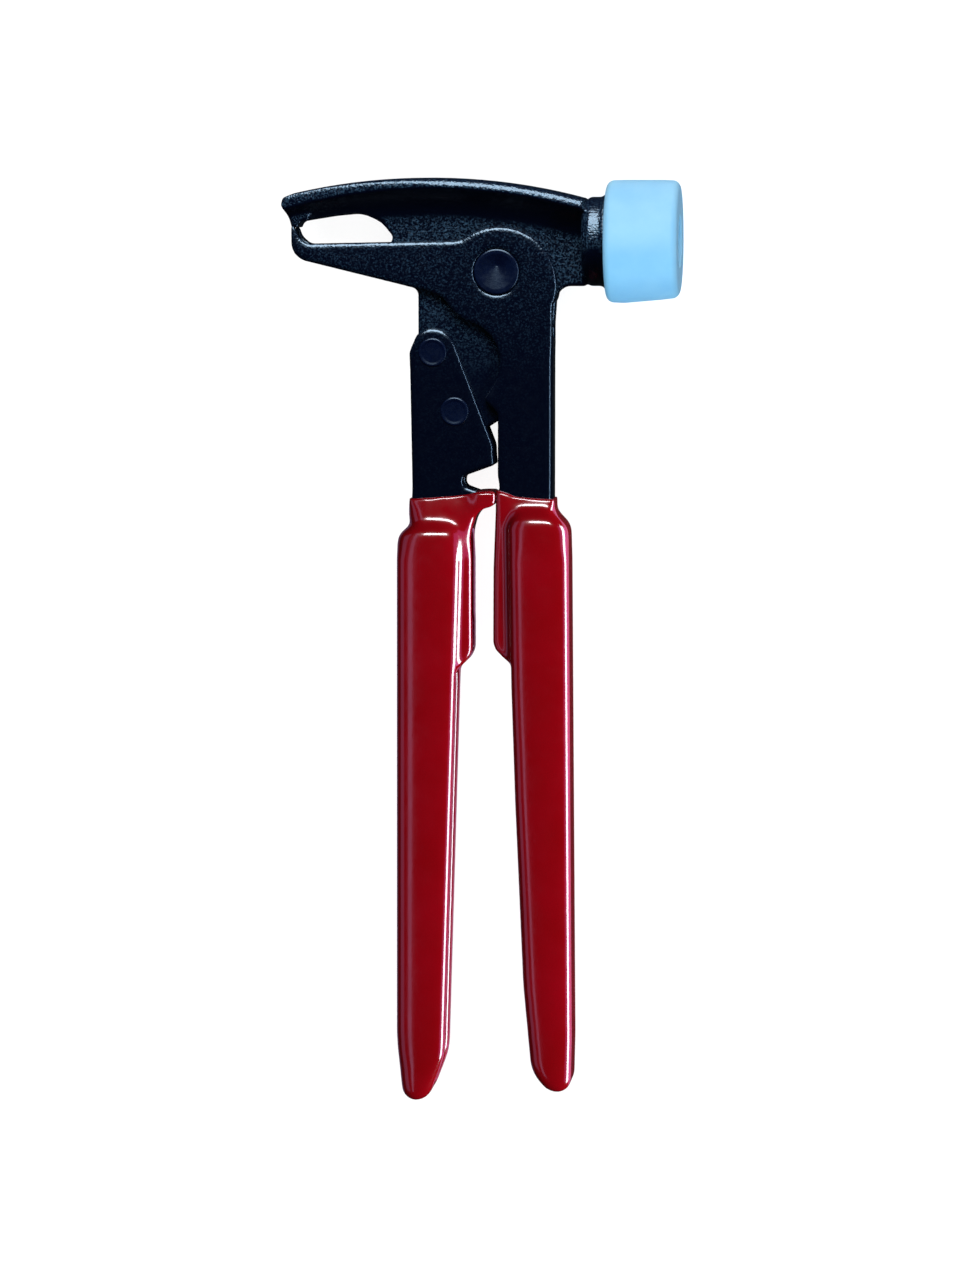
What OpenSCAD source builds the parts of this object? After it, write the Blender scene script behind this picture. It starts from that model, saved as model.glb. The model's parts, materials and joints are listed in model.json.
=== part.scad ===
// Wheel-weight hammer plier: a forged head with a beaked jaw and a plastic-faced hammer,
// one stamped channel handle riveted to it, and one stamped channel that is jaw and handle in one.
// Each outline is drawn about the pivot: +Y to the head, +X to the hammer, Z through the tool's thickness.
// The part lies on its side. Its origin is on the surface it lies on, under the middle of its bounding box.

/* [Head forging] */
// Thickness of the web and the leg
web_t = 5; // [4:0.1:6]
// Width of the spine over the hub
spine_w = 18; // [16:0.5:20]
// Width of the spine at the beak
beak_w = 14; // [12:0.5:16]
// Distance from the spine's back to the crest of its rim
rim_h = 2.5; // [2:0.1:4]
// Radius of the spine's back
spine_r = 172; // [165:1:190]
// Radius of the hollow that runs from the rim down to the web
hollow_r = 9.8; // [8:0.1:10.5]
// Diameter of the hammer neck
neck_d = 25.4; // [22:0.2:26]

/* [Hammer tip] */
// Diameter of the plastic tip
tip_d = 35; // [32:0.5:38]
// Length of the plastic tip
tip_len = 20.9; // [20:0.1:26]
// Diameter of the spigot inside the tip
spigot_d = 16; // [14:0.5:18]
// Length of the spigot
spigot_len = 12; // [10:0.5:13]
// Diameter of the tip screw's thread
screw_d = 6; // [5:0.5:6]

/* [Pivot and rivets] */
// Diameter of the pivot pin
pin_d = 13; // [11:0.5:14]
// Radial clearance of the pin in the forging
pin_fit = 0.05; // [0.02:0.01:0.1]
// Diameter of each handle rivet's shank
rivet_d = 5.5; // [5:0.5:6]
// Diameter of each handle rivet's head
rivet_head_d = 8.3; // [8:0.1:9]

/* [Stamped channels] */
// Thickness of the stamped sheet
sheet_t = 2.5; // [2:0.1:2.6]
// Side clearance between the forging and each cheek of the lever
side_gap = 0.2; // [0.15:0.05:0.3]
// How far each handle panel stands out from its cheek
panel_raise = 2; // [1.5:0.1:2.5]

/* [Grips] */
// Thickness of the dipped coat
dip_t = 0.85; // [0.6:0.05:0.9]

/* [Hidden] */
$fn = 72;

// levels above the mid-plane
cheek_in = web_t / 2;                     // inner face of the still handle's cheeks
lever_in = web_t / 2 + side_gap;          // inner face of the lever's cheeks
cheek_out = lever_in + sheet_t;           // outer face of all cheeks
panel_out = cheek_out + panel_raise;      // outer face of the raised panels
panel_in = panel_out - sheet_t;
coat_low = cheek_out + dip_t;
coat_high = panel_out + dip_t;

rim_drop = 3;                             // fall of the rim from its crest to the back

// places about the pivot
spine_c = [-19.5, 26.7 - spine_r];        // centre of the spine's back
neck_y = 8.6;                             // height of the hammer's axis
neck_x = 24.6;                            // where the neck starts
tip_x = 31.2;                             // rear face of the plastic tip
tip_end = tip_x + tip_len;                // striking face
rivet_upper = [-18.45, -23.1];
rivet_lower = [-12.1, -40];
top_arc_r = 6.9;                          // round top of the still handle
hub_c = [0.7, -3.9];                      // centre of the lever's round shoulder
hub_r = 16.75;
shear_c = [-11, -25.85];                  // centre of the round notch in the lever
shear_r = 11.85;
lever_edge = 16.15;                       // outer edge of the lever below its shoulder
fold_top = -19;                           // the lever is folded into a channel below this
grip_end = -241.1;                        // lowest point of the still grip
beak_x = -62;                             // foremost point of the beak
head_top = spine_c.y + spine_r;

// the row frame: on the ground, under the middle of the bounding box
centre = [(beak_x + tip_end) / 2, (head_top + grip_end) / 2];
lift = tip_d / 2;

// ---- outlines: lists of [x, y, corner radius] ----

function along(v) = v / norm(v);
function flat(p) = [p.x, p.y];

// points of the rounded corner at b, between its neighbours a and c
function corner(a, b, c) =
    let (u = along(flat(a) - flat(b)), w = along(flat(c) - flat(b)),
         half = acos(max(-1, min(1, u * w))) / 2,
         reach = min(b[2] / tan(half), 0.49 * norm(flat(a) - flat(b)), 0.49 * norm(flat(c) - flat(b))),
         r = reach * tan(half))
    b[2] == 0 || half > 89 ? [flat(b)] :
    let (m = flat(b) + along(u + w) * r / sin(half),
         s = flat(b) + u * reach - m, turn = (u.x * w.y - u.y * w.x > 0 ? -1 : 1) * (180 - 2 * half),
         n = max(1, ceil(abs(turn) / 6)))
    [for (k = [0:n]) m + [s.x * cos(turn * k / n) - s.y * sin(turn * k / n),
                          s.x * sin(turn * k / n) + s.y * cos(turn * k / n)]];

function rounded(p) =
    [for (i = [0:len(p) - 1]) each corner(p[(i + len(p) - 1) % len(p)], p[i], p[(i + 1) % len(p)])];

// a stretch of circle, as outline points with no rounding of their own
function arc(c, r, from, to, step = 6) =
    let (n = ceil(abs(to - from) / step))
    [for (k = [0:n]) let (a = from + (to - from) * k / n) [c.x + r * cos(a), c.y + r * sin(a), 0]];

// the outline moved out by d; outlines run clockwise
function grow(p, d) =
    [for (i = [0:len(p) - 1])
        let (b = p[i], u = along(flat(b) - flat(p[(i + len(p) - 1) % len(p)])),
             w = along(flat(p[(i + 1) % len(p)]) - flat(b)),
             nu = [-u.y, u.x], nw = [-w.y, w.x], bulges = u.x * w.y - u.y * w.x < 0,
             q = flat(b) + (nu + nw) * d / (1 + nu * nw))
        [q.x, q.y, b[2] == 0 ? 0 : max(0.1, b[2] + (bulges ? d : -d))]];

module slab(p, z0, z1) translate([0, 0, z0]) linear_extrude(z1 - z0) polygon(rounded(p));

// the same slab above and below the mid-plane
module pair(p, z0, z1) for (z = [z0, -z1]) slab(p, z, z + z1 - z0);

// from outlines about the pivot to where the part lies
module lay() translate([-centre.x, -centre.y, lift]) children();

// along the hammer's axis, from x
module hammer_axis(x) translate([x, neck_y, 0]) rotate([0, 90, 0]) children();

// ---- head forging ----

FORGING = concat(
    arc(spine_c, spine_r, 103, 75, 1.5),
    [[neck_x + 0.6, 20, 0], [neck_x + 0.6, -4.1, 0], [17.1, -4.1, 4.2], [16.3, -15.5, 2], [8, -24, 3],
     [4, -29, 3], [4, -40.3, 1.5], [-13, -51.2, 3], [-21.9, -49, 3], [-22.3, -23.6, 1], [-22.9, -20.4, 1],
     [-22.9, -5, 3.5], [-26.5, -4.2, 1], [-31, -2.6, 2], [-31.5, 7.2, 1.2], [-30, 9.7, 1.4],
     [-33.4, 13.9, 8], [-38.8, 16.5, 9], [-47, 15.7, 20], [-56.9, 14.1, 1.8], [-57.4, 12.85, 0.3],
     [-59.1, 12.85, 0.4], [-59.6, 14.6, 2], [beak_x, 18.9, 1.2], [-61.4, 21, 0.8]]);

// half of the spine's section, as distance from the spine's centre against height: the hollow, then the
// crowned rim, which falls away from its crest and is cut off by the outline at the back
SPINE = concat(
    [[spine_r - 18, 0], [spine_r - 18, web_t / 2]],
    [for (a = [-90:7:-27]) [spine_r - rim_h - hollow_r + hollow_r * cos(a),
                             web_t / 2 + hollow_r * (1 + sin(a))]],
    [for (a = [105:-10:15]) [spine_r - rim_h + rim_h * cos(a), spine_w / 2 - rim_drop * (1 - sin(a))]],
    [[spine_r + 2, spine_w / 2 - 2 * rim_drop], [spine_r + 2, 0]]);

module spine() translate([spine_c.x, spine_c.y, 0]) rotate([0, 0, 74])
    rotate_extrude(angle = 32, $fn = 2 * $fn) for (side = [0, 1]) mirror([0, side]) polygon(SPINE);

// plan of the spine's width, narrowing to the beak
module spine_plan() rotate([90, 0, 0]) translate([0, 0, -60]) linear_extrude(120)
    polygon([[-70, -beak_w / 2], [-15, -spine_w / 2], [40, -spine_w / 2],
             [40, spine_w / 2], [-15, spine_w / 2], [-70, beak_w / 2]]);

module neck() hammer_axis(neck_x) rotate_extrude()
    polygon([[0, 0], [neck_d / 2 - 2, 0], [neck_d / 2, 2], [neck_d / 2, tip_x - neck_x - 1.3],
             [neck_d / 2 + 1.2, tip_x - neck_x], [spigot_d / 2, tip_x - neck_x],
             [spigot_d / 2, tip_x - neck_x + spigot_len - 1], [spigot_d / 2 - 1, tip_x - neck_x + spigot_len],
             [0, tip_x - neck_x + spigot_len]]);

module beak_pad() slab([[-64, 24, 0], [-54, 24, 0], [-54, 12, 0], [-64, 12, 0]], -5, 5);

module head_forging() color("#10141c") lay() difference() {
    union() {
        intersection() {
            slab(FORGING, -spine_w / 2, spine_w / 2);
            spine_plan();
            union() { slab(grow(FORGING, 1), -web_t / 2, web_t / 2); spine(); beak_pad(); }
        }
        neck();
    }
    cylinder(d = pin_d + 2 * pin_fit, h = web_t + 2, center = true);
    for (at = [rivet_upper, rivet_lower]) translate(at) cylinder(d = rivet_d, h = web_t + 2, center = true);
    hammer_axis(tip_x + spigot_len - 11) cylinder(d = screw_d, h = 12);
}

// ---- hammer tip ----

washer_t = 1.2;
washer_d = 14;
recess_d = 15;
floor_x = tip_x + spigot_len + 3;         // floor of the counterbore in the striking face

module hammer_tip() color("#9fd8f7") lay() hammer_axis(tip_x) rotate_extrude() difference() {
    polygon(rounded([[0, 0, 0], [0, tip_len, 0], [tip_d / 2, tip_len, 2.8], [tip_d / 2, 0, 2.5]]));
    translate([-1, -1]) square([spigot_d / 2 + 1, spigot_len + 1]);
    translate([-1, 0]) square([screw_d / 2 + 1.2, tip_len]);
    translate([-1, floor_x - tip_x]) square([recess_d / 2 + 1, tip_len]);
}

module tip_washer() color("#8a8d92") lay() hammer_axis(floor_x) difference() {
    cylinder(d = washer_d, h = washer_t);
    translate([0, 0, -1]) cylinder(d = screw_d + 0.4, h = washer_t + 2);
}

module tip_screw() color("#6f7379") lay() hammer_axis(floor_x) difference() {
    union() {
        translate([0, 0, -13]) cylinder(d = screw_d, h = 14);
        translate([0, 0, washer_t]) rotate_extrude()
            polygon(rounded([[0, 0, 0], [0, 3.2, 0], [5.5, 3.2, 1.6], [5.5, 0, 0]]));
        cylinder(d = screw_d, h = 2);
    }
    translate([0, 0, washer_t + 2.9]) cube([1.4, 20, 2.4], center = true);
}

// ---- still handle ----

FIXED_LOW = concat(
    [[-25.2, -22.9, 2], [-23, -17.8, 2]],
    arc(rivet_upper, top_arc_r, 108, 20),
    [[-0.9, -49.6, 6], [-0.6, -55.3, 0.6], [-9.6, -58.6, 1.4], [-9.6, -61.4, 1.4], [-4.6, -63.2, 1.5],
     [-1.1, -63.2, 0.8], [-1.1, -64.6, 1], [-4.4, -66.9, 2.5], [-7.85, -69.6, 3.5], [-7.85, -110.4, 5],
     [-13.6, -115.6, 1], [-22, -115.6, 0], [-22, -75, 0], [-24.9, -71, 4], [-24.5, -62, 30]]);

FIXED_HIGH =
    [[-24.6, -73.9, 1.5], [-12.5, -73.9, 1.5], [-11.3, -76, 2], [-12.6, -124, 60], [-13.3, -153.5, 80],
     [-15, -206, 60], [-15.8, -228, 18], [-20.5, grip_end + dip_t, 6], [-26.4, grip_end + dip_t, 4.5],
     [-28.2, -223, 40], [-28.15, -130, 80], [-27.9, -75.4, 4.5]];

// where the still grip's coat ends, rising a little to the inner side
FIXED_DIP = [[-40, -65.6, 0], [-25, -64.7, 8], [-12, -63.7, 0], [-4, -62.75, 0], [5, -62.75, 0],
             [5, -250, 0], [-40, -250, 0]];

// ---- jaw lever ----

LEVER_LOW = concat(
    [[-59.25, 12.8, 0.2], [-58.7, 12.8, 0.2], [-57.3, 10.1, 3], [-54.9, 7.8, 2.5], [-10.6, 8.75, 6]],
    arc(hub_c, hub_r, 117, -12),
    [[lever_edge, -9.4, 3], [lever_edge, -67, 0], [15.5, -76, 0], [14, -113, 0], [5.8, -113, 1.5],
     [-0.1, -107.8, 4.5], [0, -85, 60], [0.7, -66, 0], [0.75, -61, 1.5], [0.3, -58.5, 1.5],
     [0.3, -40.5, 1.2], [-3.7, -36.6, 0.8]],
    arc(shear_c, shear_r, -38, 80),
    [[-11.9, -12.3, 4], [-15.3, -7.6, 4], [-20, -5.6, 6], [-59.4, 3.9, 7.5]]);

LEVER_HIGH =
    [[6.4, -70.1, 1.5], [17.2, -70.1, 2.5], [20.1, -73, 3], [20.35, -142, 80], [21.4, -222, 40],
     [21.1, -236.4, 5], [16, -237.2, 6], [11.2, -231.5, 10], [8.8, -206, 60], [6.45, -153.5, 80],
     [5.3, -119, 60], [4.6, -73, 2]];

LEVER_DIP = [[-4, -62.5, 0], [1, -62.5, 0], [5, -63.8, 4], [18, -64.6, 6], [40, -66.4, 0],
             [40, -250, 0], [-4, -250, 0]];

// where each cheek's own outer edge is folded, and where the raised panels have drawn walls
FIXED_FOLD = [[-40, rivet_upper.y, 0], [-20, rivet_upper.y, 0], [-20, -78, 0], [-40, -78, 0]];
LEVER_FOLD = [[12, fold_top, 0], [40, fold_top, 0], [40, -78, 0], [12, -78, 0]];
DRAWN = [[-40, -60, 0], [40, -60, 0], [40, -113, 0], [-40, -113, 0]];

// the folded outer wall of a channel: the outline without the same outline moved in by the sheet's thickness
module fold(p, inward, height) difference() {
    slab(p, -height, height);
    translate(inward * sheet_t) slab(p, -height - 1, height + 1);
}

// a stamped channel handle: low cheeks, raised panels with a drawn wall down to the cheeks, and the fold.
// The cheeks end at the drawn walls, and the fold of the cheeks keeps to its own zone.
module channel(low, high, z0, inward, zone) {
    difference() {
        union() {
            pair(low, z0, cheek_out);
            intersection() {
                pair(high, z0, panel_out);
                slab(DRAWN, -20, 20);
            }
        }
        pair(grow(high, -sheet_t), z0 - 1, panel_in);
    }
    pair(high, panel_in, panel_out);
    fold(high, inward, panel_out);
    intersection() {
        fold(low, inward, cheek_out);
        slab(zone, -20, 20);
    }
}

module fixed_channel() difference() {
    channel(FIXED_LOW, FIXED_HIGH, cheek_in, [1, 1, 0], FIXED_FOLD);
    for (at = [rivet_upper, rivet_lower]) translate(at) cylinder(d = rivet_d, h = 40, center = true);
}

module lever_channel() difference() {
    channel(LEVER_LOW, LEVER_HIGH, lever_in, [-1, 1, 0], LEVER_FOLD);
    cylinder(d = pin_d, h = 40, center = true);
}

module fixed_handle() color("#131722") lay() fixed_channel();
module jaw_lever() color("#131722") lay() lever_channel();

// ---- grips: the coat over each channel, open where the channel is open ----

module coat(low, high, dip, inward) difference() {
    intersection() {
        union() {
            slab(grow(low, dip_t), -coat_low, coat_low);
            slab(grow(high, dip_t), -coat_high, coat_high);
        }
        slab(dip, -20, 20);
    }
    translate(inward * (sheet_t + 2 * dip_t)) {
        slab(grow(low, dip_t), -cheek_in + dip_t, cheek_in - dip_t);
        slab(grow(high, dip_t), -panel_in + dip_t, panel_in - dip_t);
    }
}

module fixed_grip() color("#a00014") lay() difference() {
    coat(FIXED_LOW, FIXED_HIGH, FIXED_DIP, [1, 1, 0]);
    fixed_channel();
}

module lever_grip() color("#a00014") lay() difference() {
    coat(LEVER_LOW, LEVER_HIGH, LEVER_DIP, [-1, 1, 0]);
    lever_channel();
}

// ---- pivot pin and rivets ----

pin_proud = 0.35;
rivet_proud = 0.3;

module pivot_pin() color("#0c1018") lay() difference() {
    cylinder(d = pin_d, h = 2 * (cheek_out + pin_proud), center = true);
    for (side = [0, 1]) mirror([0, 0, side]) translate([0, 0, cheek_out + pin_proud - 1.6])
        cylinder(r1 = 0.2, r2 = pin_d / 2 - 0.6, h = 1.6);
}

module rivet(at) lay() translate(at) for (side = [0, 1]) mirror([0, 0, side]) rotate_extrude()
    polygon(rounded([[0, 0, 0], [0, cheek_out + rivet_proud, 0],
                     [rivet_head_d / 2, cheek_out + rivet_proud, 0.25], [rivet_head_d / 2, cheek_out, 0],
                     [rivet_d / 2, cheek_out, 0], [rivet_d / 2, 0, 0]]));

module handle_rivet_upper() color("#0e121b") rivet(rivet_upper);
module handle_rivet_lower() color("#0e121b") rivet(rivet_lower);

head_forging();
hammer_tip();
tip_screw();
tip_washer();
fixed_handle();
fixed_grip();
handle_rivet_upper();
handle_rivet_lower();
jaw_lever();
lever_grip();
pivot_pin();
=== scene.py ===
"""Looks of the wheel-weight hammer plier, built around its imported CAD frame.

Lengths are metres in the row frame; a value in millimetres is multiplied by MM where it is used.
"""

import json
import math

import bmesh
import bpy
import numpy as np
from mathutils import Matrix, Vector


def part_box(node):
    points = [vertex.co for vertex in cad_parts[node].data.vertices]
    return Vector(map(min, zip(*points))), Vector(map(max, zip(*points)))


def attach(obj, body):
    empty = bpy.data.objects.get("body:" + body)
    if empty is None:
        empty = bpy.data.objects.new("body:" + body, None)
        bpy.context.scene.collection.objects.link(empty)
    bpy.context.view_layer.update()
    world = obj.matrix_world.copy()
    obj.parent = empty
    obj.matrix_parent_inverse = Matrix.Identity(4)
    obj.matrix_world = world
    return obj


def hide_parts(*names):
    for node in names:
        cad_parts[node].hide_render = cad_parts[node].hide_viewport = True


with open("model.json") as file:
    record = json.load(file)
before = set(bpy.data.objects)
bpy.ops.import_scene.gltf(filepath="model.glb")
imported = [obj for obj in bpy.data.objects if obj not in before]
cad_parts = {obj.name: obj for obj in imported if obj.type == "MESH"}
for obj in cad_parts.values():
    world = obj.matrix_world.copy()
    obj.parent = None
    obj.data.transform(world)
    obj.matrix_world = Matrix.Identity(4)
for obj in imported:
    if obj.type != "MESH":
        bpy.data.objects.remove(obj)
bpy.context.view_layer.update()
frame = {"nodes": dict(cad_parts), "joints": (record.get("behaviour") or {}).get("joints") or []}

MM = 0.001
scene = bpy.context.scene
pivot = Vector(frame["joints"][0]["pos_m"])
tip_low, tip_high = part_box("hammer_tip")
hammer_axis = (tip_low + tip_high) / 2


def about_pivot(x, y, z):
    """The place x, y, z millimetres from the middle of the pivot."""
    return pivot + Vector((x, y, z)) * MM


# ---------------------------------------------------------------- mesh helpers

ASKEW_DEG = 37  # between the tool and the voxels of a remesh
OWN_SHARE = 2  # how much a vertex's own normal counts against each neighbour's
ARC_STEP_DEG = 9  # of a turned piece's rounded corners
FILLET_SHARE = 0.49  # the most of a side that one rounded corner may take
ON_AXIS = 1e-6  # a radius in millimetres below which a turned ring is a point
SHARP_DEG = 35  # turned pieces stay sharp at corners steeper than this


def new_piece(name, mesh):
    piece = bpy.data.objects.new(name, mesh)
    scene.collection.objects.link(piece)
    return piece


def weld(mesh, gap=3e-6, flat_deg=0.6):
    """Joins the split vertices of an imported mesh and merges its flat triangles."""
    bm = bmesh.new()
    bm.from_mesh(mesh)
    bmesh.ops.remove_doubles(bm, verts=bm.verts, dist=gap)
    bmesh.ops.dissolve_limit(
        bm, angle_limit=math.radians(flat_deg), verts=bm.verts, edges=bm.edges
    )
    bm.to_mesh(mesh)
    bm.free()


def copy_of(node, name):
    """A new piece with the shape of a CAD node, welded and without its material."""
    mesh = frame["nodes"][node].data.copy()
    mesh.name = name
    mesh.materials.clear()
    weld(mesh)
    return new_piece(name, mesh)


def bake_modifiers(piece):
    """Replaces the piece's mesh by its shape with all modifiers applied."""
    graph = bpy.context.evaluated_depsgraph_get()
    graph.update()
    mesh = bpy.data.meshes.new_from_object(piece.evaluated_get(graph))
    old = piece.data
    piece.modifiers.clear()
    piece.data = mesh
    bpy.data.meshes.remove(old)
    mesh.name = piece.name


def smooth_shaded(piece, sharp_deg=None):
    mesh = piece.data
    mesh.polygons.foreach_set("use_smooth", [True] * len(mesh.polygons))
    if sharp_deg is not None:
        mesh.set_sharp_from_angle(angle=math.radians(sharp_deg))
    mesh.update()


def prism(name, outline, depth):
    """A closed block with this outline, in millimetres about the pivot, depth to each side of the middle."""
    bm = bmesh.new()
    rings = [
        [bm.verts.new(about_pivot(x, y, side * depth)) for x, y in outline]
        for side in (-1, 1)
    ]
    low, high = rings
    bm.faces.new(list(reversed(low)))
    bm.faces.new(high)
    for i in range(len(outline)):
        j = (i + 1) % len(outline)
        bm.faces.new([low[i], low[j], high[j], high[i]])
    bmesh.ops.recalc_face_normals(bm, faces=bm.faces)
    mesh = bpy.data.meshes.new(name)
    bm.to_mesh(mesh)
    bm.free()
    return new_piece(name, mesh)


def combine(piece, other, operation):
    """Cuts, joins or intersects piece with other, and removes other."""
    modifier = piece.modifiers.new("combine", "BOOLEAN")
    modifier.operation = operation
    modifier.solver = "EXACT"
    modifier.object = other
    bake_modifiers(piece)
    bpy.data.objects.remove(other)


def remeshed(piece, voxel):
    """Rebuilds the mesh from voxels set at an angle to the tool, so that its long edges come out straight."""
    askew = Matrix.Rotation(math.radians(ASKEW_DEG), 4, "Z")
    piece.data.transform(askew)
    modifier = piece.modifiers.new("remesh", "REMESH")
    modifier.mode = "VOXEL"
    modifier.voxel_size = voxel * MM
    bake_modifiers(piece)
    piece.data.transform(askew.inverted())


def keep_largest(piece):
    """Removes the closed-in walls that a remesh leaves inside a piece."""
    bm = bmesh.new()
    bm.from_mesh(piece.data)
    bm.verts.ensure_lookup_table()
    seen, islands = set(), []
    for start in bm.verts:
        if start.index in seen:
            continue
        island, queue = [], [start]
        seen.add(start.index)
        while queue:
            v = queue.pop()
            island.append(v)
            for e in v.link_edges:
                w = e.other_vert(v)
                if w.index not in seen:
                    seen.add(w.index)
                    queue.append(w)
        islands.append(island)
    islands.sort(key=len)
    for island in islands[:-1]:
        bmesh.ops.delete(bm, geom=island, context="VERTS")
    bm.to_mesh(piece.data)
    bm.free()


def eased(piece, rounds, weight=None):
    """Rounds the edges of a remeshed piece; weight(co) from 0 to 1 says how much at each place."""
    modifier = piece.modifiers.new("ease", "SMOOTH")
    modifier.factor = 0.5
    modifier.iterations = rounds
    if weight:
        group = piece.vertex_groups.new(name="ease")
        for v in piece.data.vertices:
            group.add([v.index], weight(v.co), "REPLACE")
        modifier.vertex_group = group.name
    bake_modifiers(piece)
    piece.vertex_groups.clear()


def evenly_shaded(piece, rounds):
    """Shades the piece with normals averaged over their neighbours, so that lines of light run straight."""
    mesh = piece.data
    smooth_shaded(piece)
    count = len(mesh.vertices)
    ends = np.empty(len(mesh.edges) * 2, dtype=np.int32)
    mesh.edges.foreach_get("vertices", ends)
    a, b = ends[::2], ends[1::2]
    normals = np.empty(count * 3)
    mesh.vertex_normals.foreach_get("vector", normals)
    normals = normals.reshape(-1, 3)
    for _ in range(rounds):
        total = OWN_SHARE * normals
        for axis in range(3):
            total[:, axis] += np.bincount(a, normals[b, axis], count)
            total[:, axis] += np.bincount(b, normals[a, axis], count)
        normals = total / np.maximum(np.linalg.norm(total, axis=1, keepdims=True), 1e-9)
    mesh.normals_split_custom_set_from_vertices(normals)


def nudged(piece, x, y, reach, move):
    """Moves what lies about a place along y, by move near it and by nothing from reach on.

    The place is given about the pivot, and all lengths are millimetres.
    """
    full = 0.4 * reach
    for v in piece.data.vertices:
        p = (v.co - pivot) / MM
        v.co.y += move * MM * (1 - ramp(math.hypot(p.x - x, p.y - y), full, reach))


def ramp(value, low, high):
    """0 up to low and 1 from high on, with a smooth rise between them."""
    t = max(0.0, min(1.0, (value - low) / (high - low)))
    return t * t * (3 - 2 * t)


# ---------------------------------------------------------------- turned pieces


def filleted(corners, closed=False):
    """A line through (along, radius, corner radius) points, with its corners rounded."""
    line = []
    count = len(corners)
    for i, (a, r, fillet) in enumerate(corners):
        here = Vector((a, r))
        if fillet == 0 or (not closed and i in (0, count - 1)):
            line.append(here)
            continue
        before = Vector(corners[i - 1][:2]) - here
        after = Vector(corners[(i + 1) % count][:2]) - here
        half = before.angle(after) / 2
        reach = min(
            fillet / math.tan(half),
            FILLET_SHARE * before.length,
            FILLET_SHARE * after.length,
        )
        radius = reach * math.tan(half)
        middle = here + (before.normalized() + after.normalized()).normalized() * (
            radius / math.sin(half)
        )
        start = here + before.normalized() * reach - middle
        turn = start.angle_signed(here + after.normalized() * reach - middle)
        steps = max(3, math.ceil(math.degrees(abs(turn)) / ARC_STEP_DEG))
        for k in range(steps + 1):
            angle = -turn * k / steps
            c, s = math.cos(angle), math.sin(angle)
            line.append(
                middle + Vector((start.x * c - start.y * s, start.x * s + start.y * c))
            )
    return line


def turned(name, corners, place, axis, closed=False, sides=144):
    """A piece turned about an axis through place, from filleted corners in millimetres."""
    line = filleted(corners, closed)
    bm = bmesh.new()
    rings = []
    for along, radius in line:
        if radius < ON_AXIS:
            rings.append([bm.verts.new((0, 0, along * MM))])
            continue
        rings.append(
            [
                bm.verts.new(
                    (
                        radius * MM * math.cos(2 * math.pi * k / sides),
                        radius * MM * math.sin(2 * math.pi * k / sides),
                        along * MM,
                    )
                )
                for k in range(sides)
            ]
        )
    pairs = list(zip(rings, rings[1:]))
    if closed:
        pairs.append((rings[-1], rings[0]))
    for a, b in pairs:
        for k in range(sides):
            m = (k + 1) % sides
            if len(a) == 1:
                bm.faces.new([a[0], b[k], b[m]])
            elif len(b) == 1:
                bm.faces.new([a[k], b[0], a[m]])
            else:
                bm.faces.new([a[k], b[k], b[m], a[m]])
    bmesh.ops.recalc_face_normals(bm, faces=bm.faces)
    mesh = bpy.data.meshes.new(name)
    bm.to_mesh(mesh)
    bm.free()
    turn = Matrix.Identity(4)
    if axis == "X":
        turn = Matrix.Rotation(math.radians(90), 4, "Y")
    mesh.transform(Matrix.Translation(place) @ turn)
    return new_piece(name, mesh)


# ---------------------------------------------------------------- materials


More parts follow.
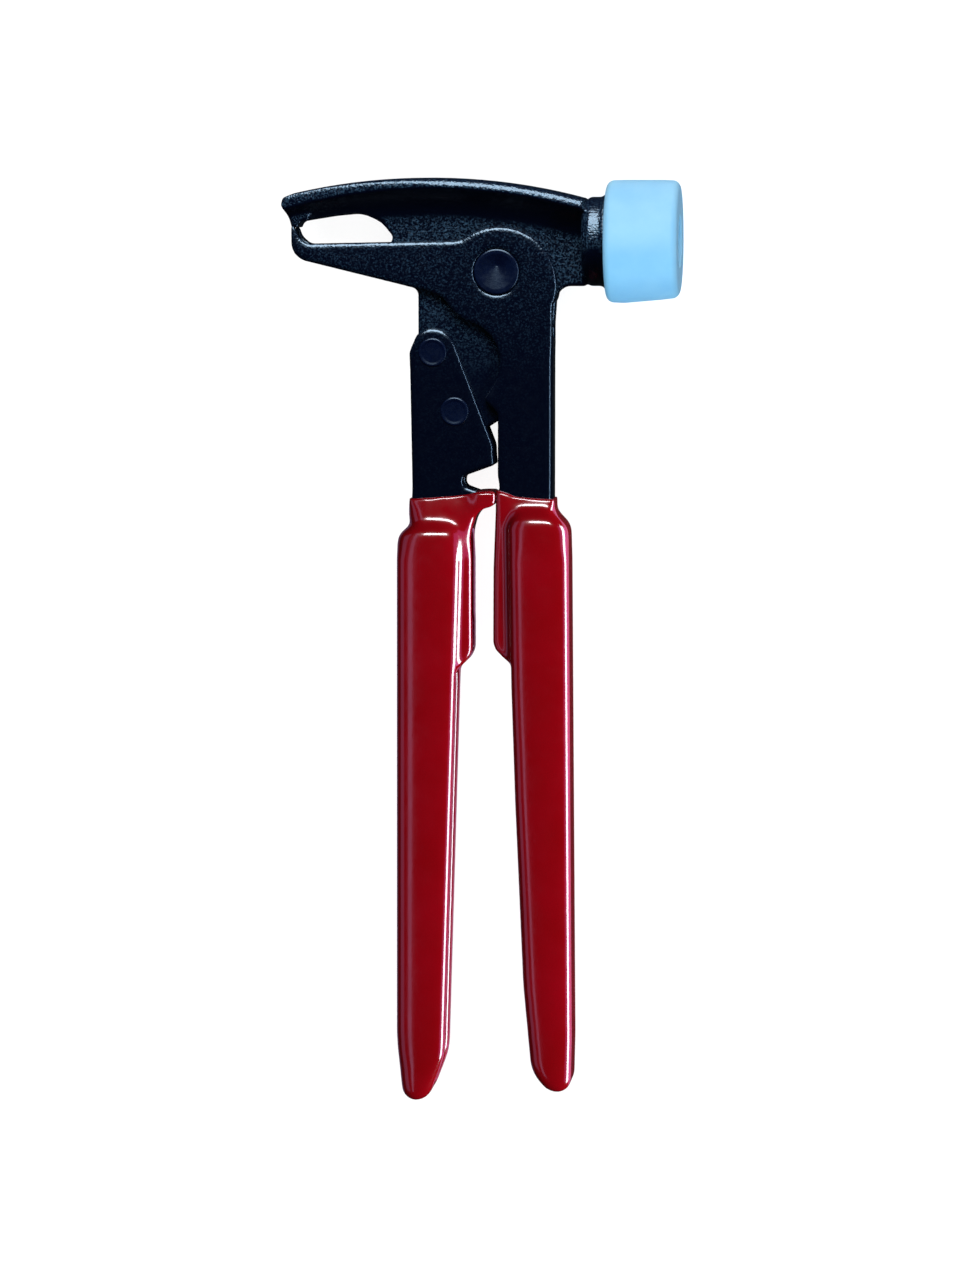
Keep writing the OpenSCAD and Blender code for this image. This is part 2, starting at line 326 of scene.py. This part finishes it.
class Surface:
    """A Principled material with helpers for its procedural detail."""

    def __init__(self, name, **values):
        self.material = bpy.data.materials.new(name)
        self.material.use_nodes = True
        self.nodes = self.material.node_tree.nodes
        self.links = self.material.node_tree.links
        self.shader = self.nodes["Principled BSDF"]
        self.place = self.nodes.new("ShaderNodeTexCoord").outputs["Object"]
        self.height = None
        for socket, value in values.items():
            self.shader.inputs[socket.replace("_", " ")].default_value = value

    def link(self, a, b):
        self.links.new(a, b)

    def stretched(self, x, y, z):
        """The object's coordinates scaled along each axis."""
        node = self.nodes.new("ShaderNodeMapping")
        node.inputs["Scale"].default_value = (x, y, z)
        self.link(self.place, node.inputs["Vector"])
        return node.outputs["Vector"]

    def noise(self, size, detail=3.0, rough=0.5, place=None):
        """Noise whose blobs are about size millimetres."""
        node = self.nodes.new("ShaderNodeTexNoise")
        node.inputs["Scale"].default_value = 1 / (size * MM)
        node.inputs["Detail"].default_value = detail
        node.inputs["Roughness"].default_value = rough
        self.link(place or self.place, node.inputs["Vector"])
        return node.outputs["Fac"]

    def mapped(self, value, low, high, to_low, to_high):
        node = self.nodes.new("ShaderNodeMapRange")
        node.inputs["From Min"].default_value = low
        node.inputs["From Max"].default_value = high
        node.inputs["To Min"].default_value = to_low
        node.inputs["To Max"].default_value = to_high
        self.link(value, node.inputs["Value"])
        return node.outputs["Result"]

    def along(self, axis, low, high, to_low, to_high):
        """A value that changes along an axis, between two places in millimetres from the pivot."""
        node = self.nodes.new("ShaderNodeSeparateXYZ")
        self.link(self.place, node.inputs["Vector"])
        origin = getattr(pivot, axis.lower())
        return self.mapped(
            node.outputs[axis], origin + low * MM, origin + high * MM, to_low, to_high
        )

    def turned_up(self, low, high, to_low, to_high):
        """A value that changes as the surface turns to face +Y, between two y of its normal."""
        normals = self.nodes.new("ShaderNodeTexCoord").outputs["Normal"]
        node = self.nodes.new("ShaderNodeSeparateXYZ")
        self.link(normals, node.inputs["Vector"])
        return self.mapped(node.outputs["Y"], low, high, to_low, to_high)

    def times(self, a, b):
        node = self.nodes.new("ShaderNodeMath")
        node.operation = "MULTIPLY"
        self.link(a, node.inputs[0])
        self.link(b, node.inputs[1])
        return node.outputs[0]

    def colour(self, value, *stops):
        """The base colour from a ramp of (position, (r, g, b))."""
        node = self.nodes.new("ShaderNodeValToRGB")
        while len(node.color_ramp.elements) < len(stops):
            node.color_ramp.elements.new(0.5)
        for element, (position, rgb) in zip(node.color_ramp.elements, stops):
            element.position = position
            element.color = (*rgb, 1)
        self.link(value, node.inputs["Fac"])
        self.link(node.outputs["Color"], self.shader.inputs["Base Color"])

    def rough(self, value):
        self.link(value, self.shader.inputs["Roughness"])

    def bump(self, height, depth, strength=1.0):
        """Relief of depth millimetres, on top of any relief there is."""
        node = self.nodes.new("ShaderNodeBump")
        node.inputs["Strength"].default_value = strength
        node.inputs["Distance"].default_value = depth * MM
        self.link(height, node.inputs["Height"])
        if self.height is not None:
            self.link(self.height, node.inputs["Normal"])
        self.height = node.outputs["Normal"]
        self.link(self.height, self.shader.inputs["Normal"])
        self.link(self.height, self.shader.inputs["Coat Normal"])


# of the blackened steel, in millimetres: the size of its grey dots, which are painted highlights of the
# glinting grain, and of the relief under them
GLINT_SPECK = 0.55
GRAIN = 0.75


def forged_black():
    """Blasted and blackened forging: near black, with grey dots painted in as highlights where its grain
    glints, fainter on the leg, where less light reaches, and on the neck.

    Walls that face -Y, away from the light, get no painted highlight dots, as painted shade, and walls that
    face +Y get fainter ones.
    """
    s = Surface("forged_black", Specular_IOR_Level=0.42)
    # along fades the painted highlight dots, as painted shade where less light reaches, and the grain relief,
    # down the leg and on the neck
    along = s.times(s.along("Y", -31, -6, 0.05, 1.0), s.along("X", 42, 45, 1.0, 0.35))
    glint_specks = s.mapped(s.noise(GLINT_SPECK, 1.0), 0.45, 0.75, 0, 0.75)
    # seen is painted light and shade by facing: no painted highlight dots on walls turned away from the light
    # towards -Y, fainter ones on walls facing +Y
    seen = s.times(s.turned_up(-0.22, -0.04, 0, 1), s.turned_up(0.45, 0.85, 1, 0.3))
    # the ramp's bright stop is the painted highlight of the glinting grain; its dark stop is the steel's own
    # near black
    s.colour(
        s.times(glint_specks, s.times(along, seen)),
        (0.0, (0.0002, 0.0007, 0.0034)),
        (1.0, (0.030, 0.050, 0.066)),
    )
    s.rough(s.mapped(s.noise(1.3, 2.0), 0.3, 0.7, 0.16, 0.24))
    s.bump(s.times(s.noise(GRAIN, 1.0), along), 0.20)
    return s.material


def stamped_black():
    """Blackened sheet: near black, with fine grey dots painted in as highlights where its grain glints at the
    jaw and over the hub, fading towards the handles where less light reaches; its grain relief fades the same
    way.
    """
    s = Surface("stamped_black", Specular_IOR_Level=0.5)
    # along fades the painted highlight dots, as painted shade where less light reaches, and the grain relief,
    # towards the handles
    along = s.along("Y", -30, 4, 0.10, 1.0)
    glint_specks = s.mapped(s.noise(GLINT_SPECK, 1.0), 0.5, 0.78, 0, 0.42)
    # the ramp's bright stop is the painted highlight of the glinting grain; its dark stop is the sheet's own
    # near black
    s.colour(
        s.times(glint_specks, along), (0.0, (0.0002, 0.0006, 0.0030)), (1.0, (0.026, 0.046, 0.064))
    )
    s.rough(s.mapped(s.noise(2.5, 3.0), 0.3, 0.7, 0.15, 0.22))
    s.bump(s.times(s.noise(GRAIN, 1.0), along), 0.13)
    return s.material


def pin_black():
    """Blackened steel, almost smooth, with a very fine grain."""
    s = Surface("pin_black", Specular_IOR_Level=0.28)
    s.colour(
        s.noise(3, 3.0), (0.3, (0.0004, 0.0012, 0.0060)), (0.7, (0.0008, 0.0022, 0.0090))
    )
    s.rough(s.mapped(s.noise(0.9, 2.0), 0.3, 0.7, 0.22, 0.32))
    s.bump(s.noise(0.5, 2.0), 0.02)
    return s.material


def dipped_red():
    """Glossy dipped vinyl, crimson, with the slow waves of a dipped skin."""
    s = Surface(
        "dipped_red", Specular_IOR_Level=0.5, Coat_Weight=0.5, Coat_Roughness=0.04
    )
    broad = s.noise(18, 2.0)
    s.colour(broad, (0.3, (0.112, 0.0001, 0.0012)), (0.7, (0.128, 0.0002, 0.0022)))
    s.rough(s.mapped(s.noise(4, 3.0), 0.3, 0.7, 0.10, 0.17))
    s.bump(s.noise(9, 2.0, place=s.stretched(1.0, 0.35, 1.0)), 0.02, 0.6)
    s.bump(s.noise(0.9, 2.0), 0.004)
    return s.material


def pale_nylon():
    """Pale blue cast nylon, slightly clear, with faint turning lines and scuffs."""
    s = Surface(
        "pale_nylon",
        Specular_IOR_Level=0.5,
        Subsurface_Weight=0.35,
        Subsurface_Radius=(1.0, 1.0, 1.0),
        Subsurface_Scale=0.004,
    )
    cloud = s.noise(8, 4.0)
    s.colour(cloud, (0.25, (0.27, 0.60, 0.92)), (0.75, (0.33, 0.66, 0.96)))
    s.rough(s.mapped(s.noise(1.2, 3.0), 0.3, 0.7, 0.32, 0.5))
    lines = s.noise(0.5, 2.0, 0.6, place=s.stretched(1.0, 0.02, 0.02))
    s.bump(lines, 0.02, 0.6)
    s.bump(s.noise(2.5, 4.0), 0.03, 0.5)
    return s.material


def zinc():
    """Zinc-plated screw and washer, faintly mottled."""
    s = Surface("zinc", Metallic=1.0)
    s.colour(
        s.noise(1.5, 4.0), (0.3, (0.42, 0.43, 0.45)), (0.7, (0.58, 0.58, 0.57))
    )
    s.rough(s.mapped(s.noise(0.5, 3.0), 0.3, 0.7, 0.26, 0.42))
    s.bump(s.noise(0.35, 3.0), 0.012)
    return s.material


def pale_floor():
    """A plain matt floor, all but even."""
    s = Surface("pale_floor", Roughness=0.9, Specular_IOR_Level=0.1)
    s.colour(s.noise(60, 2.0), (0.2, (0.90, 0.90, 0.90)), (0.8, (0.93, 0.93, 0.93)))
    return s.material


FORGED = forged_black()
STAMPED = stamped_black()
PIN = pin_black()
RED = dipped_red()
NYLON = pale_nylon()
ZINC = zinc()
STEELS = (FORGED, STAMPED, PIN, ZINC)


def placed(piece, node, body, material):
    """Gives the piece its material, and puts it on its body in place of its CAD node."""
    piece.data.materials.clear()
    piece.data.materials.append(material)
    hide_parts(node)
    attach(piece, body)


# ---------------------------------------------------------------- stamped handles

# what was dipped of each handle, about the pivot in millimetres: the line where its coat ends, and two
# corners far below the handle that close the outline
STILL_DIP = [
    (-40, -65.6), (-25, -64.7), (-12, -63.7), (-4, -62.75), (5, -62.75), (5, -250), (-40, -250),
]
LEVER_DIP = [
    (-4, -62.5), (1, -62.5), (5, -63.8), (18, -64.6), (40, -66.4), (40, -250), (-4, -250),
]
BELOW_HANDLES = -200
UNDER_COAT = 0.5  # how far a sheet is drawn in beneath its coat

# where the jaw's two tips meet, and how far each is moved towards the other in millimetres; this is a
# little too far, so the closed tips overlap by up to 0.5
JAW_TIPS = (-58.4, 12.83)
TIP_REACH = 3.0
LEVER_TIP_UP = 0.45
BEAK_TIP_DOWN = 0.42

# how finely a steel piece is remeshed and how much its edges are broken
STAMPED_VOXEL = 0.56
STAMPED_EASING = 28
EDGE_EASING = 0.30  # of the full easing, on all but the folded bend
CRISP_EASING = 0.4  # of that, at the crisp places
FORGED_VOXEL = 0.42
FORGED_EASING = 6
STEEL_SHADING = 2  # rounds of averaging the normals


def stamped(node, name, folded, crisp, dip):
    """A stamping with its edges broken, and with a wide bend where its outer wall is folded.

    folded(x, y) from 0 to 1 says where the bend is, and crisp lists (x, y, reach) places whose edges
    stay nearly sharp; both are in millimetres about the pivot.
    """
    piece = copy_of(node, name)
    remeshed(piece, STAMPED_VOXEL)
    keep_largest(piece)

    def weight(co):
        p = (co - pivot) / MM
        near = min(math.hypot(p.x - x, p.y - y) / reach for x, y, reach in crisp)
        edge = EDGE_EASING * (CRISP_EASING + (1 - CRISP_EASING) * ramp(near, 0.7, 1.2))
        return edge + (1 - edge) * folded(p.x, p.y)

    eased(piece, STAMPED_EASING, weight)
    thin_out(piece, thinned_below(dip))
    return piece


def thin_out(piece, by):
    """Moves the surface inwards by by(co) millimetres at each place."""
    bm = bmesh.new()
    bm.from_mesh(piece.data)
    bm.normal_update()
    moves = [(v, v.normal * by(v.co) * MM) for v in bm.verts]
    for v, move in moves:
        v.co -= move
    bm.to_mesh(piece.data)
    bm.free()


def thinned_below(dip):
    """How far a sheet is thinned beneath its coat, so that it stays under the coat's rounded edges."""
    line = sorted((x, y) for x, y in dip if y > BELOW_HANDLES)

    def by(co):
        p = (co - pivot) / MM
        end = np.interp(p.x, [x for x, _ in line], [y for _, y in line])
        return UNDER_COAT * ramp(end - p.y, 0.4, 2.5)

    return by


def still_fold(x, y):
    """Where the still handle's outer wall is folded."""
    return ramp(-x, 20.6, 22.2) * ramp(-y, 25, 29)


def lever_fold(x, y):
    """Where the lever's outer wall is folded."""
    return ramp(x, 12.2, 13.8) * ramp(-y, 20, 25)


# (x, y, reach) of the places whose edges stay nearly sharp: the two corners of the still handle's notch,
# and the lever's jaw tip and the corner below its hub
STILL_CRISP = [(-0.8, -55.3, 1.6), (-1.6, -63.9, 2.2)]
LEVER_CRISP = [(-58.8, 12.4, 3.0), (-3.6, -36.6, 1.6)]
still_shell = stamped("fixed_handle", "still_handle_shell", still_fold, STILL_CRISP, STILL_DIP)
evenly_shaded(still_shell, STEEL_SHADING)
placed(still_shell, "fixed_handle", "root", STAMPED)
lever_shell = stamped("jaw_lever", "jaw_lever_shell", lever_fold, LEVER_CRISP, LEVER_DIP)
nudged(lever_shell, *JAW_TIPS, TIP_REACH, LEVER_TIP_UP)
evenly_shaded(lever_shell, STEEL_SHADING)
placed(lever_shell, "jaw_lever", "lever", STAMPED)


# ---------------------------------------------------------------- head forging

forging = copy_of("head_forging", "forged_head")
remeshed(forging, FORGED_VOXEL)
keep_largest(forging)


def forging_weight(co):
    """Little rounding where the beak meets the lever."""
    p = (co - pivot) / MM
    return 0.5 + 0.5 * ramp(math.hypot(p.x - JAW_TIPS[0], p.y - JAW_TIPS[1]), 2.0, 4.0)


eased(forging, FORGED_EASING, forging_weight)
nudged(forging, *JAW_TIPS, TIP_REACH, -BEAK_TIP_DOWN)
evenly_shaded(forging, STEEL_SHADING)
placed(forging, "head_forging", "root", FORGED)


# ---------------------------------------------------------------- dipped grips

# all in millimetres, apart from the rounds of easing and of shading
GRIP_VOXEL = 0.46
PANEL_FACE = 7.6  # the raised panel's faces lie farther than this from the tool's middle plane
PANEL_SAG = 0.6  # how far the panel's faces fall away at their sides
STATION = 2.0  # between the places where the panel's width is measured
DIP_LINE = -63.5  # where the coats end, about the pivot
COAT_DRAWN_IN = 0.5  # how far the coat's surface is moved inwards at its end
CORNER_DEPTH = 6.0  # half of the corner fill's whole depth
DIP_DEPTH = 20  # half of the dipped block's whole depth
DRAWN_EASING = 60
SHOULDER_EASING = 110
GRIP_SHADING = 5


def panel_sides(co):
    """The least and greatest x of the raised panel at each place along the grip, from its outer layer."""
    outer = co[np.abs(co[:, 2]) > PANEL_FACE]
    stations = np.arange(outer[:, 1].min(), outer[:, 1].max() + STATION, STATION)
    which = np.digitize(outer[:, 1], stations)
    used = [k for k in range(1, len(stations) + 1) if (which == k).any()]
    middle = np.array([outer[which == k, 1].mean() for k in used])
    low = np.array([outer[which == k, 0].min() for k in used])
    high = np.array([outer[which == k, 0].max() for k in used])
    return np.interp(co[:, 1], middle, low), np.interp(co[:, 1], middle, high)


def crown(piece, sag):
    """Lets the panel's two faces fall away to their sides, by sag millimetres."""
    mesh = piece.data
    co = np.empty(len(mesh.vertices) * 3)
    mesh.vertices.foreach_get("co", co)
    co = (co.reshape(-1, 3) - np.array(pivot)) / MM
    low, high = panel_sides(co)
    across = np.clip((2 * co[:, 0] - low - high) / (high - low), -1.2, 1.2)
    outer = np.clip((np.abs(co[:, 2]) - 5.0) / 3.0, 0, 1)
    co[:, 2] -= np.sign(co[:, 2]) * sag * across**2 * outer
    mesh.vertices.foreach_set("co", (co * MM + np.array(pivot)).ravel())
    mesh.update()


# vinyl that has run together in the corner above the still grip's slot
CORNER = [
    (-8.4, -64.5), (-0.3, -63.1), (-0.3, -65.8), (-1.0, -67.0), (-2.2, -67.5), (-3.5, -67.8),
    (-5.2, -68.9), (-6.3, -70.7), (-6.9, -73.5), (-8.4, -75.0),
]


def grip(coat_node, steel_node, name, dip, corner=None):
    """The coat with its channel inside, drawn smooth like poured vinyl, crisp where it ends."""
    piece = copy_of(coat_node, name)
    if corner:
        combine(piece, prism(name + "_corner", corner, CORNER_DEPTH), "UNION")
    inside = copy_of(steel_node, name + "_inside")
    combine(inside, prism(name + "_dip", dip, DIP_DEPTH), "INTERSECT")
    combine(piece, inside, "UNION")
    remeshed(piece, GRIP_VOXEL)
    keep_largest(piece)
    crown(piece, PANEL_SAG)
    top = pivot.y / MM + DIP_LINE

    def below(co):
        """How far a place lies below the coat's end."""
        return top - co.y / MM

    def beside(co):
        """0 at the crease between the two grips, and 1 well away from it."""
        return ramp(abs((co.x - pivot.x) / MM + 1), 4, 8)

    def drawn_in(co):
        return COAT_DRAWN_IN * (1 - ramp(below(co), 0, 6)) * beside(co)

    def drawn(co):
        return 0.14 + 0.86 * ramp(below(co), 0.8, 7) * (0.3 + 0.7 * beside(co))

    def shoulder(co):
        return ramp(below(co), 2, 6) * (1 - ramp(below(co), 13, 20)) * beside(co)

    thin_out(piece, drawn_in)
    eased(piece, DRAWN_EASING, drawn)
    eased(piece, SHOULDER_EASING, shoulder)
    evenly_shaded(piece, GRIP_SHADING)
    return piece


still_grip = grip("fixed_grip", "fixed_handle", "still_grip_dip", STILL_DIP, CORNER)
placed(still_grip, "fixed_grip", "root", RED)
lever_grip = grip("lever_grip", "jaw_lever", "lever_grip_dip", LEVER_DIP)
placed(lever_grip, "lever_grip", "lever", RED)


# ---------------------------------------------------------------- pivot pin and rivets

# the pin's dished ends, in millimetres: their lowest point lies off the pin's axis
DISH_OFF_AXIS = 1.9
DISH_RADIUS = 6.0
DISH_FROM = 3.9


def turned_on_z(name, node, corners):
    """A pin through the tool's thickness: its corners are given for the upper half and repeated below."""
    low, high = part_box(node)
    middle = (low + high) / 2
    lower = [(-a, r, f) for a, r, f in reversed(corners)]
    return turned(name, corners + lower, middle, "Z")


pin = turned_on_z(
    "pivot_pin_turned",
    "pivot_pin",
    [
        (4.1, 0, 0),
        (4.3, 0.5, 0.3),
        (5.4, 5.1, 0.8),
        (5.45, 6.1, 0.5),
        (5.2, 6.48, 0.2),
        (4.9, 6.48, 0),
    ],
)
for v in pin.data.vertices:
    out = math.hypot(v.co.x - pivot.x, v.co.y - pivot.y) / MM
    if abs(v.co.z - pivot.z) > DISH_FROM * MM:
        v.co.y += DISH_OFF_AXIS * MM * (1 - ramp(out, 0.2, DISH_RADIUS))
placed(pin, "pivot_pin", "lever", PIN)

RIVET = [
    (5.36, 0, 0),
    (5.34, 2.9, 0.5),
    (5.5, 3.45, 0.4),
    (5.5, 3.85, 0.35),
    (5.2, 4.15, 0.2),
    (5.1, 4.15, 0),
    (5.1, 2.7, 0),
]
rivets = []
for which in ("upper", "lower"):
    node = f"handle_rivet_{which}"
    rivet = turned_on_z(f"{which}_rivet_turned", node, RIVET)
    placed(rivet, node, "root", PIN)
    rivets.append(rivet)


# ---------------------------------------------------------------- hammer tip

TIP_WEAR = 1.3  # millimetres off the lower edge of the striking face
tip_length = (tip_high.x - tip_low.x) / MM
tip = turned(
    "nylon_hammer_tip",
    [
        (0, 8, 0.2),
        (0, 17.3, 2.2),
        (5, 17.48, 30),
        (16, 17.48, 30),
        (tip_length, 17.3, 2.2),
        (tip_length, 7.5, 0.5),
        (15.0, 7.5, 0.3),
        (15.0, 4.2, 0.2),
        (12.0, 4.2, 0.2),
        (12.0, 8, 0.3),
    ],
    Vector((tip_low.x, hammer_axis.y, hammer_axis.z)),
    "X",
    closed=True,
    sides=192,
)
for v in tip.data.vertices:
    along = (v.co.x - tip_low.x) / MM
    under = (hammer_axis.y - v.co.y) / MM
    worn = TIP_WEAR * ramp(along, 4, 22) * ramp(under, 4, 17.5)
    v.co.y += worn * MM
placed(tip, "hammer_tip", "root", NYLON)

washer_low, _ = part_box("tip_washer")
washer_seat = Vector((washer_low.x, hammer_axis.y, hammer_axis.z))
washer = turned(
    "tip_washer_turned",
    [(0, 3.2, 0.15), (0, 7.0, 0.25), (1.2, 7.0, 0.25), (1.2, 3.2, 0.15)],
    washer_seat,
    "X",
    closed=True,
)
placed(washer, "tip_washer", "root", ZINC)

screw = turned(
    "tip_screw_turned",
    [
        (-13, 0, 0),
        (-13, 2.4, 0),
        (-12.2, 3.0, 0),
        (0.9, 3.0, 0),
        (1.2, 3.0, 0),
        (1.2, 5.5, 0.2),
        (4.4, 5.5, 1.5),
        (4.4, 0, 0),
    ],
    washer_seat,
    "X",
)
SLOT_HALF_WIDTH = 0.7
SLOT_AT = 4.2  # the slot's middle, from the washer's seat
slot_cut = prism("slot_cut", [(-1, -10), (1, -10), (1, 10), (-1, 10)], SLOT_HALF_WIDTH)
slot_cut.data.transform(
    Matrix.Translation(washer_seat - pivot)
    @ Matrix.Translation(Vector((SLOT_AT, 0, 0)) * MM)
)
combine(screw, slot_cut, "DIFFERENCE")
placed(screw, "tip_screw", "root", ZINC)

for piece in (pin, tip, washer, screw, *rivets):
    smooth_shaded(piece, SHARP_DEG)


# ---------------------------------------------------------------- floor, light and camera

FLOOR_HALF = 3.0
WORLD_STRENGTH = 0.02
floor_mesh = bpy.data.meshes.new("floor")
floor_mesh.from_pydata(
    [
        (-FLOOR_HALF, -FLOOR_HALF, 0),
        (FLOOR_HALF, -FLOOR_HALF, 0),
        (FLOOR_HALF, FLOOR_HALF, 0),
        (-FLOOR_HALF, FLOOR_HALF, 0),
    ],
    [],
    [(0, 1, 2, 3)],
)
floor_mesh.materials.append(pale_floor())
floor = new_piece("floor", floor_mesh)
floor.visible_glossy = False

world = bpy.data.worlds.new("studio")
scene.world = world
world.use_nodes = True
background = world.node_tree.nodes["Background"]
background.inputs["Color"].default_value = (0.6, 0.8, 1.0, 1)
background.inputs["Strength"].default_value = WORLD_STRENGTH

scene.view_settings.view_transform = "Standard"
scene.view_settings.look = "None"


def softbox(name, at, facing, size, radiance, colour):
    """A rectangular soft light at a place about the pivot, turned to face another; lengths in metres.

    size is (along the floor, across that), and radiance is the brightness of its face.
    """
    light = bpy.data.lights.new(name, "AREA")
    light.shape = "RECTANGLE"
    light.size, light.size_y = size
    light.energy = radiance * math.pi * size[0] * size[1]
    light.color = colour
    lamp = bpy.data.objects.new(name, light)
    scene.collection.objects.link(lamp)
    away = (Vector(at) - Vector(facing)).normalized()
    level = Vector((0, 0, 1)).cross(away).normalized()
    lamp.matrix_world = (
        Matrix.Translation(pivot + Vector(at))
        @ Matrix((level, away.cross(level), away)).transposed().to_4x4()
    )
    return lamp


# steel, grips, hammer tip and floor each have their own soft lamps: the floor stays pale and even, the
# black steel stays black, and the lines of light on the red coats stay crisp


def only(name, *pieces):
    """A collection that limits a lamp to these pieces."""
    receivers = bpy.data.collections.new(name)
    for piece in pieces:
        receivers.objects.link(piece)
    for member in receivers.collection_objects:
        member.light_linking.link_state = "INCLUDE"
    return receivers


def lit_by(receivers, *lamps):
    """Lets these lamps light nothing but the receivers."""
    for lamp in lamps:
        lamp.light_linking.receiver_collection = receivers


steel = [
    piece
    for piece in bpy.data.objects
    if piece.type == "MESH" and piece.data.materials and piece.data.materials[0] in STEELS
]
only_steel = only("only_steel", *steel)
only_grips = only("only_grips", still_grip, lever_grip)
only_nylon = only("only_nylon", tip)
only_floor = only("only_floor", floor)

GRIPS = (0, -0.12, 0)  # what the lamps beside the grips face, about the pivot
lit_by(
    only_steel,
    softbox("steel_key", (-0.02, 0.42, 0.27), (0, -0.02, 0), (0.45, 0.40), 20, (0.56, 0.78, 1.0)),
    softbox("steel_sky", (-0.02, 0.44, 0.80), (0, -0.02, 0), (0.50, 0.30), 2.4, (0.50, 0.76, 1.0)),
    softbox("steel_strip", (0.62, -0.15, 0.46), GRIPS, (0.9, 0.05), 34, (0.40, 0.66, 1.0)),
)
lit_by(
    only_grips,
    softbox("grip_strip_top", (-0.02, 0.24, 0.90), (0, -0.07, 0), (0.34, 0.10), 30, (1.0, 0.94, 1.0)),
    softbox("grip_window", (0.66, -0.12, 0.42), GRIPS, (0.9, 0.34), 25, (0.86, 0.88, 1.0)),
    softbox("grip_wall_right", (0.85, -0.12, 0.06), GRIPS, (0.9, 0.36), 4.5, (0.95, 0.32, 1.0)),
    softbox("grip_band_edge", (-0.30, -0.12, 0.95), GRIPS, (0.9, 0.06), 1.3, (0.72, 0.58, 1.0)),
    softbox("grip_band_left", (-0.55, -0.12, 0.72), GRIPS, (0.9, 0.30), 0.60, (0.62, 0.50, 1.0)),
    softbox("grip_band_right", (0.60, -0.12, 0.85), GRIPS, (0.9, 0.30), 1.5, (1.0, 0.20, 0.7)),
)
# what the pale surroundings below the tool throw onto the grips' side walls
under_lamps = [
    softbox("grip_under_right", (0.45, -0.12, -0.25), GRIPS, (0.9, 0.6), 1.6, (1.0, 0.42, 0.85)),
    softbox("grip_under_left", (-0.45, -0.12, -0.25), GRIPS, (0.9, 0.6), 0.4, (0.8, 0.5, 1.0)),
]
lit_by(only_grips, *under_lamps)
for lamp in under_lamps:
    lamp.light_linking.blocker_collection = only_grips
lit_by(
    only_nylon,
    softbox("nylon_front", (0.08, 0.35, 0.85), (0.06, 0.02, 0), (1.2, 1.2), 2.25, (0.96, 1.0, 0.98)),
    softbox("nylon_below", (0.08, -0.8, 0.45), (0.06, 0.02, 0), (1.2, 0.9), 2.1, (0.5, 0.85, 1)),
    softbox("nylon_above", (0.08, 0.9, 0.35), (0.06, 0.02, 0), (1.0, 0.6), 1.6, (1.0, 1.0, 1.0)),
)
# the tool doesn't block the floor's main lamp, so that its only shadow is the faint one from soft_shade
floor_lamp = softbox("floor_lamp", (0, -0.1, 2.4), (0, -0.101, 0), (3.0, 3.0), 3.4, (1, 1, 1))
floor_lamp.light_linking.blocker_collection = only_floor
lit_by(
    only_floor,
    floor_lamp,
    softbox("soft_shade", (0, -0.1, 2.0), (0, -0.101, 0), (3.0, 3.0), 0.25, (1, 1, 1)),
)

# the camera's place and aim at the photograph's viewing angle, in metres about the pivot
EYE = (0.1317, 0.02895, 1.2)
AIM = (-0.0053, -0.10635, 0)
SENSOR_MM = 36
LENS_MM = 118.07

camera_data = bpy.data.cameras.new("camera")
camera_data.sensor_width = SENSOR_MM
camera_data.lens = LENS_MM
camera = bpy.data.objects.new("camera", camera_data)
scene.collection.objects.link(camera)
eye = pivot + Vector(EYE)
ahead = (pivot + Vector(AIM) - eye).normalized()
right = ahead.cross(Vector((0, 1, 0))).normalized()
camera.matrix_world = (
    Matrix.Translation(eye)
    @ Matrix((right, right.cross(ahead), -ahead)).transposed().to_4x4()
)
scene.camera = camera
